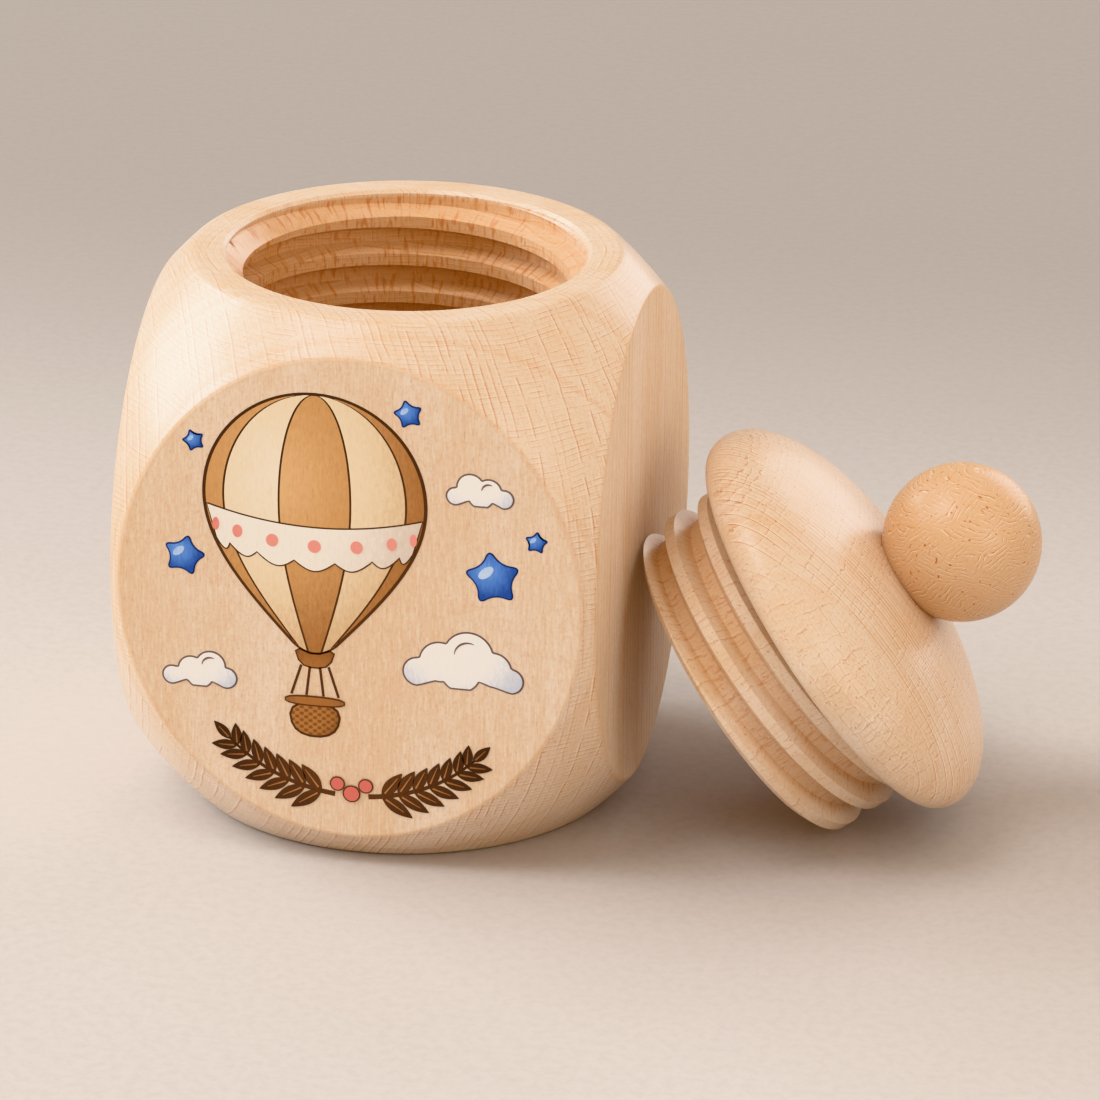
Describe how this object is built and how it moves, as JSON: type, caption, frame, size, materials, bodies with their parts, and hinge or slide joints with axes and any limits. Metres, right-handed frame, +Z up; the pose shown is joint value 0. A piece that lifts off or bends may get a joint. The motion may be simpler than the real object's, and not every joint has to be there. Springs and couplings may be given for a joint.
{
  "type": "wooden keepsake box with screw lid",
  "caption": "Turned wooden cube box with rounded flats, a bored cavity and a coarse wooden screw thread in its mouth; the domed, ball-topped screw lid is off and leans at its side.",
  "frame": {"origin": "centre of the box's flat base, on the table", "axes": "+Z up along the cavity's axis, -Y out of the printed front flat, +X toward the leaning lid"},
  "size_m": [0.0835, 0.046, 0.053],
  "materials": {
    "box_wood": "pale fine-grained wood, sanded and lightly oiled",
    "lid_wood": "pale fine-grained wood, sanded and lightly oiled",
    "knob_wood": "pale end-grain wood, sanded and lightly oiled",
    "dowel_wood": "plain unfinished dowel"
  },
  "bodies": {
    "box": {"box_body": "box_wood"},
    "lid_carrier": {"knob_dowel": "dowel_wood"},
    "lid": {"lid": "lid_wood", "ball_knob": "knob_wood"}
  },
  "joints": [
    {"name": "lid_pull", "type": "slide", "parent": "box", "child": "lid_carrier", "axis": [0.796, 0.1119, 0.5948], "range_m": [0, 0.06]},
    {"name": "lid_turn", "type": "hinge", "parent": "lid_carrier", "child": "lid", "pos_m": [0.04066, 0, 0.01863], "axis": [0.796, 0.1119, 0.5948], "continuous": true}
  ]
}
